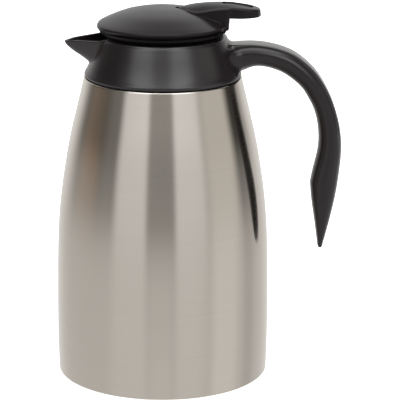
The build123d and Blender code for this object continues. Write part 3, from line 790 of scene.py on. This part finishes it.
faces += [(prev[i], prev[(i + 1) % seg], tip_i) for i in range(seg)]
used = sorted({i for f in faces for i in f})
remap = {v: i for i, v in enumerate(used)}
make("dome", verts[used], [tuple(remap[i] for i in f) for f in faces], lid_plastic, "flip_lid", "black_plastic",
     ("lid_dome",), 24)

# =====================================================================
# thumb lever: V plate, hump and tab
# =====================================================================


def height_solid(boundary, top_fn, low_fn, step):
    """A closed solid over a closed plan line, between two height functions."""
    b = np.asarray(boundary, float)
    n = len(b)
    lo, hi = b.min(0), b.max(0)
    gx, gy = np.meshgrid(np.arange(lo[0], hi[0], step), np.arange(lo[1], hi[1], step * 0.866))
    gx = gx + (np.arange(gy.shape[0]) % 2)[:, None] * step / 2
    cand = np.stack([gx.ravel(), gy.ravel()], 1)
    keep = []
    for p in cand:
        x, y = p
        inside = False
        j = n - 1
        for i in range(n):
            if (b[i][1] > y) != (b[j][1] > y) and x < (b[j][0] - b[i][0]) * (y - b[i][1]) / (b[j][1] - b[i][1]) + b[i][0]:
                inside = not inside
            j = i
        if inside and np.min(np.linalg.norm(b - p, axis=1)) > step * 0.45:
            keep.append(p)
    allp = np.vstack([b, np.array(keep)]) if keep else b
    edges = [(i, (i + 1) % n) for i in range(n)]
    p2, tr, _ = delaunay_2d_cdt([Vector(p) for p in allp], edges, [list(range(n))], 1, 1e-6)[0:3:1], None, None
    pv = np.array([tuple(v) for v in p2[0]])
    tr = [tuple(f) for f in p2[2]]
    m = len(pv)
    top = np.column_stack([pv, top_fn(pv[:, 0], pv[:, 1])])
    low = np.column_stack([pv, low_fn(pv[:, 0], pv[:, 1])])
    faces = list(tr) + [tuple(i + m for i in reversed(f)) for f in tr]
    faces += [(i, (i + 1) % n, (i + 1) % n + m, i + m) for i in range(n)]
    return np.vstack([top, low]), faces


gap = 0.45
plate_side = []
for i in range(1, len(vee_line)):
    a, b = vee_line[i - 1], vee_line[min(i + 1, len(vee_line) - 1)]
    d = b - a
    nrm = np.array([d[1], -d[0]]) / np.linalg.norm(d)
    g = gap + 0.45 * float(1 - smooth(8, 17, vee_line[i][0]))
    p = vee_line[i] + nrm * g
    if p[0] > 10.2 and p[1] > 0.25 and np.linalg.norm(p) < RIM - 0.35:
        plate_side.append(p)
plate_side = np.array(plate_side)
end_ang = math.atan2(plate_side[-1][1], plate_side[-1][0])
arc = np.array([((RIM - 0.3) * math.cos(a), (RIM - 0.3) * math.sin(a)) for a in np.linspace(end_ang, -end_ang, 44)])
plate_line = np.vstack([plate_side, arc[1:-1], plate_side[::-1] * [1, -1]])


def flute(x, y):
    """How far the plate dips below the dome: deepest along the V line, nothing at the hump and at the rim."""
    x, y = np.asarray(x, float), np.abs(np.asarray(y, float))
    v = np.maximum(vee_half(x), 12.6)
    u = np.clip((y - 12.0) / np.maximum(v - 12.0, 0.6), 0, 1)
    d = 0.95 * u ** 1.3
    return d * (1 - smooth(35.5, 41.2, np.hypot(x, y)))


def plate_top(x, y):
    bead = 0.42 * np.exp(-((np.abs(y) - 13.0) / 0.55) ** 2) * smooth(19.5, 23.0, x) * smooth(41.0, 38.5, x)
    return dome_z(x, y) - 0.12 - flute(x, y) + bead


def plate_low(x, y):
    return dome_z(x, y) - POCKET + 0.05


plate = height_solid(plate_line, plate_top, plate_low, 1.0)

lever_top = Spline(*zip(*[(7.6, 244.75), (8.6, 244.95), (10.5, 245.25), (13, 245.7), (18, 246.8), (24.6, 247.75),
                          (32.4, 248.25), (38.8, 248.3), (45.9, 247.85), (50.5, 247.1), (54.4, 246.35),
                          (60.2, 244.95), (62.5, 244.35), (63.6, 244.05)]))
crown_k = [(7, 0.11), (12, 0.072), (16, 0.034), (20, 0.029), (26, 0.030), (33, 0.024), (42, 0.019), (47, 0.0165),
           (53, 0.011), (60, 0.008), (64, 0.008)]
half_w = Spline(*zip(*[(7.8, 0.25), (8.6, 1.25), (10.2, 3.0), (12.0, 4.7), (14.2, 7.1), (16.4, 9.45), (18.6, 11.2),
                       (20.6, 12.05), (23.0, 12.25), (28, 12.2), (34, 12.1), (40, 12.0), (42.4, 11.65), (43.6, 11.05),
                       (45.5, 10.8), (48, 10.7), (52, 10.4), (55.5, 9.7), (58.5, 8.6), (60.6, 7.1), (62.1, 5.2),
                       (63.0, 3.1), (63.4, 1.1), (63.45, 0.3)]))
xs = np.concatenate([[10.1, 10.25], np.arange(10.55, 38.0, 0.75), np.linspace(38.0, 38.6, 4),
                     np.arange(39.0, 42.6, 0.5), np.linspace(42.6, 43.2, 6), [43.2], np.arange(43.45, 53.0, 0.6),
                     np.arange(53.2, 58.3, 0.42), np.linspace(58.3, 58.9, 4), np.arange(59.3, 62.4, 0.45),
                     np.linspace(62.5, 63.45, 9)])
tab_from = int(np.nonzero(np.isclose(xs, 43.2))[0][-1])
rings = []
for i, x in enumerate(xs):
    H = max(float(half_w([x])[0]), 0.25)
    zc = float(lever_top([x])[0])
    kk = float(lerp(crown_k, x))
    tab = i >= tab_from
    end = float(smooth(60.8, 63.45, x))
    re = min((0.85 + 0.75 * float(smooth(41.5, 45, x))), 0.42 * H)
    zu = 239.15 - 0.15 * float(smooth(43, 50, x)) + 0.2 * float(smooth(54, 60, x)) + 0.2 * end ** 2
    zc = zc - 0.25 * end ** 2
    re2 = min(1.25, 0.42 * H)
    # oblong recess for the thumb
    yr = 0.0
    if 38.0 < x < 58.5:
        yr = 4.6
        if x < 42.6:
            yr = math.sqrt(max(4.6 ** 2 - (x - 42.6) ** 2, 0))
        elif x > 53.9:
            yr = math.sqrt(max(4.6 ** 2 - (x - 53.9) ** 2, 0))
    dr = 1.15 if yr > 0.05 else 0.0
    yr = max(yr, 0.02)
    crown = [(yr * u, -dr) for u in (0, 0.3, 0.6, 0.82)] + [(max(yr - 0.25, yr * 0.9), -dr * 0.93), (yr, -dr * 0.5),
                                                            (yr + 0.28, -dr * 0.03)]
    y1 = max(H - re, yr + 0.4)
    crown += [(yr + 0.5 + (y1 - yr - 0.5) * u, 0) for u in (0.0, 0.2, 0.4, 0.6, 0.8, 1.0)]
    half = [(y, zc - kk * y * y + dz) for y, dz in crown]
    ze = half[-1][1]
    half += [(H - re + re * math.sin(a), ze - re + re * math.cos(a)) for a in np.radians([22, 45, 67, 90])]
    # lower half width: rounded upright corners at the back of the hump
    if tab:
        Hl = 9.0 * H / 11.3
        b = 1.0
    elif x < 40.2:
        Hl, b = H, 0.0
    else:
        Hl = min(9.0 + math.sqrt(max(9.0 - (x - 40.2) ** 2, 0)), H)
        b = min(1.0, (H - Hl) / re2)
    z_side = ze - re
    half += [(H, z_side + (zu + re2 - z_side) * u) for u in (0.4, 0.8, 1.0)]
    for a in np.radians([30, 60, 90]):
        round_pt = np.array([H - re2 + re2 * math.cos(a), zu + re2 - re2 * math.sin(a)])
        flat_pt = np.array([H, zu + re2 - re2 * math.sin(a)])
        half.append(tuple(round_pt * b + flat_pt * (1 - b)))
    start = half[-1][0]
    Hl = min(Hl, start)
    half += [(start + (Hl - start) * u, zu) for u in (0.5, 1.0)]
    if tab:
        zb = zu
    else:
        on_dome = dome_z(x, min(H, 40)) - 0.9
        zb = on_dome + (231.7 - on_dome) * float(smooth(37.4, 39.0, x)) + 0.8 * float(smooth(42.6, 43.2, x))
        zb = min(zb, zu - 0.2)
    half += [(Hl, zu + (zb - zu) * u) for u in (0.25, 0.5, 0.75, 0.9, 1.0)]
    half += [(Hl * u, zb) for u in (0.75, 0.5, 0.25)] + [(0.0, zb)]
    half = np.array(half)
    # small fillet where the hump's wall meets the plate
    if x < 41.0:
        zp = plate_top(np.array([x]), np.array([H]))[0] if H < 40 else 235
        hgt = half[:, 1] - zp
        rf = 0.5 * float(smooth(19.0, 24.0, x))
        if rf > 0.05:
            g = np.clip(hgt, 0, rf)
            push = np.where((hgt < rf) & (half[:, 0] > H - 0.2), rf - np.sqrt(np.maximum(rf ** 2 - (rf - g) ** 2, 0)), 0)
            half[:, 0] += push
    left = half[1:-1][::-1] * [-1, 1]
    ring = np.vstack([half, left])
    xo = np.full(len(ring), x)
    if not tab and x > 42.0:
        xo = xo - 0.08 * np.clip(238.0 - ring[:, 1], 0, 5) * float(smooth(42.0, 43.2, x))
    if x > 60:
        xo = xo - 0.13 * np.clip(ring[:, 1] - 241.0, 0, 4) * end
    rings.append(np.stack([xo, ring[:, 0], ring[:, 1]], 1))
hump = tube_grid(np.array(rings))
make("lever", *join(hump, plate), lid_plastic, "flip_lid", "black_plastic", ("thumb_lever",), 34)

# =====================================================================
# materials of the CAD pieces that stay
# =====================================================================
finish = {
    "base_plate": base_mat, "vacuum_seal_cap": inner_mat, "getter": getter_mat, "inner_liner": inner_mat, "inner_neck": inner_mat,
    "inner_bottom": inner_mat, "collar_gasket": silicone, "neck_ring": inner_plastic, "neck_ring_seal": silicone,
    "handle_screws": fastener_mat, "stopper_seal": silicone, "stopper_body": inner_plastic,
    # lid_base takes the painted-shade plastic, near-black so the gap under the lid reads as shade
    "stopper_cap": inner_plastic, "stopper_foam": foam, "lid_base": shaded_undercut_plastic, "lid_plug": inner_plastic,
    "plug_gasket": silicone, "lid_foam": foam, "lever_screws": fastener_mat, "hinge_pin": fastener_mat,
    "lid_spring": fastener_mat,
}
for name, mat in finish.items():
    slots = nodes[name].data.materials
    if len(slots) == 0:
        slots.append(mat)
    for i in range(len(slots)):
        slots[i] = mat

# =====================================================================
# studio: pale floor, soft panels round the object, camera
# =====================================================================
fm = Nodes("floor_paper")
fm.bsdf.inputs["Roughness"].default_value = 0.9
fm.bsdf.inputs["Specular IOR Level"].default_value = 0.1
fibre = fm.noise(fm.place((1, 1, 1)), 300.0, 3.0, 0.6)
fm.link(fm.mix(fibre, rgba(0.86, 0.86, 0.86), rgba(0.89, 0.89, 0.89)), fm.bsdf.inputs["Base Color"])
fm.bsdf.inputs["Emission Color"].default_value = rgba(1, 1, 1)
fm.bsdf.inputs["Emission Strength"].default_value = 0.66
bm = bmesh.new()
bmesh.ops.create_circle(bm, cap_ends=True, segments=64, radius=14.0)
fmesh = bpy.data.meshes.new("floor")
bm.to_mesh(fmesh)
bm.free()
fmesh.materials.append(fm.mat)
floor = bpy.data.objects.new("floor", fmesh)
floor.location = (0, 0, -0.0002)
bpy.context.scene.collection.objects.link(floor)
# the surroundings below the horizon stand for the table in mirror directions
floor.visible_glossy = False
floor.visible_diffuse = False
floor.visible_shadow = False


def studio_world():
    """Soft panels on a dim room, by direction: azimuth 0 is towards the camera's side, positive to the right."""
    world = bpy.data.worlds.new("studio")
    bpy.context.scene.world = world
    world.use_nodes = True
    nt = world.node_tree
    nt.nodes.clear()

    def new(kind, **kw):
        n = nt.nodes.new(kind)
        for kk_, v in kw.items():
            setattr(n, kk_, v)
        return n

    def put(socket, v):
        if hasattr(v, "is_output"):
            nt.links.new(v, socket)
        else:
            socket.default_value = v

    def mth(op, a, b=0.0):
        n = new("ShaderNodeMath", operation=op)
        put(n.inputs[0], a)
        put(n.inputs[1], b)
        return n.outputs[0]

    def ramp(v, a, b, lo=0.0, hi=1.0):
        n = new("ShaderNodeMapRange", interpolation_type="SMOOTHSTEP")
        put(n.inputs["Value"], v)
        for key, val in zip(("From Min", "From Max", "To Min", "To Max"), (a, b, lo, hi)):
            put(n.inputs[key], val)
        return n.outputs["Result"]

    def mixc(f, a, b):
        n = new("ShaderNodeMix", data_type="RGBA")
        put(n.inputs["Factor"], f)
        put(n.inputs["A"], a)
        put(n.inputs["B"], b)
        return n.outputs["Result"]

    def scale(colour, v):
        n = new("ShaderNodeVectorMath", operation="SCALE")
        put(n.inputs[0], colour)
        put(n.inputs["Scale"], v)
        return n.outputs[0]

    def add(a, b):
        n = new("ShaderNodeVectorMath", operation="ADD")
        put(n.inputs[0], a)
        put(n.inputs[1], b)
        return n.outputs[0]

    tc = new("ShaderNodeTexCoord")
    sep = new("ShaderNodeSeparateXYZ")
    nt.links.new(tc.outputs["Generated"], sep.inputs[0])
    az = mth("MULTIPLY", mth("ARCTAN2", sep.outputs[0], mth("MULTIPLY", sep.outputs[1], -1.0)), 180 / math.pi)
    el = mth("MULTIPLY", mth("ARCSINE", sep.outputs[2]), 180 / math.pi)
    back = mth("ABSOLUTE", az)

    def band(v, a, b, s0, s1):
        return mth("MULTIPLY", ramp(v, a - s0, a + s0), ramp(v, b - s1, b + s1, 1.0, 0.0))

    top_off = ramp(el, 48, 68, 1.0, 0.0)
    acc = scale((0.107, 0.103, 0.089), 1.0)
    for a, b, s0, s1, level, level_high, col in (           # level at the horizon, level above 32 degrees
            (-54, -17.5, 6, 4, 0.72, 2.75, (1.0, 1.008, 1.03)),       # left softbox
            (-17.5, 15.0, 4, 4, 0.20, 1.10, (1.0, 1.0, 1.0)),         # dim gap at the camera
            (15.0, 50, 4, 5, 0.73, 2.95, (1.0, 1.008, 1.03)),         # right softbox
            (56, 96, 6, 7, 0.62, 0.35, (1.0, 0.975, 0.93)),           # warm reflector
            (50, 56, 5, 6, 0.50, 0.60, (1.0, 0.985, 0.96)),
            (-75, -52, 10, 4, 0.10, 0.25, (1.0, 1.0, 1.0))):
        lift = mth("MULTIPLY", ramp(el, 17, 31, level, level_high), top_off)
        acc = add(acc, scale(col, mth("MULTIPLY", band(az, a, b, s0, s1), lift)))
    # dark flag at the right, before the background begins
    acc = add(acc, scale((-0.088, -0.086, -0.076), band(az, 102, 118, 4, 6)))
    # bright background behind the object, a brighter strip above it
    rear = mth("ADD", ramp(el, 14, 36, 0.84, 1.50), ramp(el, 46, 64, 0.0, -1.2))
    acc = add(acc, scale((1.0, 1.0, 0.995), mth("MULTIPLY", ramp(back, 116, 150), rear)))
    # ceiling
    over = new("ShaderNodeMapRange", interpolation_type="SMOOTHSTEP")        # overhead light, reaching lower in front
    put(over.inputs["Value"], el)
    put(over.inputs["From Min"], ramp(back, 100, 135, 54, 70))
    put(over.inputs["From Max"], ramp(back, 100, 135, 70, 84))
    put(over.inputs["To Min"], 0.0)
    put(over.inputs["To Max"], 2.8)
    acc = add(acc, scale((1.0, 1.0, 1.0), mth("ADD", ramp(el, 46, 70, 0.0, 0.36), over.outputs["Result"])))
    # warm wood at the left
    wood = mth("MULTIPLY", band(az, -112, -80, 10, 8), band(el, -9, 3, 6, 6))
    acc = add(acc, scale((0.20, 0.095, 0.04), wood))

    # table top
    tb = scale((0.735, 0.725, 0.71), 1.0)
    for a, b, s0, s1, level, col in (
            (-58, -18, 10, 6, 0.05, (1.0, 1.0, 1.0)),
            (16, 46, 6, 8, 0.06, (1.0, 1.0, 1.0)),
            (-12, 9, 6, 5, 0.05, (1.0, 0.995, 0.985)),
            (58, 90, 6, 8, 0.15, (1.0, 0.985, 0.955)),
            (101, 118, 5, 6, -0.10, (1.0, 1.0, 1.0))):
        tb = add(tb, scale(col, mth("MULTIPLY", band(az, a, b, s0, s1), level)))
    tb = add(tb, scale((1.0, 1.0, 1.0), mth("MULTIPLY", ramp(back, 118, 158), 0.10)))
    # the table's edge: higher at the sides than in front
    edge_hi = ramp(back, 18, 62, -3.0, 4.0)
    edge_lo = ramp(back, 18, 62, -18.0, -16.0)
    n = new("ShaderNodeMapRange", interpolation_type="SMOOTHSTEP")
    put(n.inputs["Value"], el)
    put(n.inputs["From Min"], edge_lo)
    put(n.inputs["From Max"], edge_hi)
    put(n.inputs["To Min"], 1.0)
    put(n.inputs["To Max"], 0.0)
    col = mixc(n.outputs["Result"], acc, tb)
    # what the camera sees past the floor is white paper
    lp = new("ShaderNodeLightPath")
    col = mixc(lp.outputs["Is Camera Ray"], col, rgba(1.0, 1.0, 1.0))
    bg = new("ShaderNodeBackground")
    put(bg.inputs["Color"], col)
    bg.inputs["Strength"].default_value = 1.0
    out = new("ShaderNodeOutputWorld")
    nt.links.new(bg.outputs[0], out.inputs["Surface"])


studio_world()
bpy.context.scene.view_settings.view_transform = "Standard"
bpy.context.scene.view_settings.look = "None"

cam_data = bpy.data.cameras.new("camera")
cam_data.sensor_width = 36.0
cam_data.lens = 203.2
cam_data.clip_start, cam_data.clip_end = 0.05, 60.0
cam = bpy.data.objects.new("camera", cam_data)
bpy.context.scene.collection.objects.link(cam)
pitch, roll = math.radians(90 - 15.617), math.radians(0.309)
cam.matrix_world = (Matrix.Translation(Vector((24.62, -1440.8, 518.0)) * MM)
                    @ Matrix.Rotation(pitch, 4, "X") @ Matrix.Rotation(roll, 4, "Z"))
bpy.context.scene.camera = cam

bpy.context.view_layer.update()
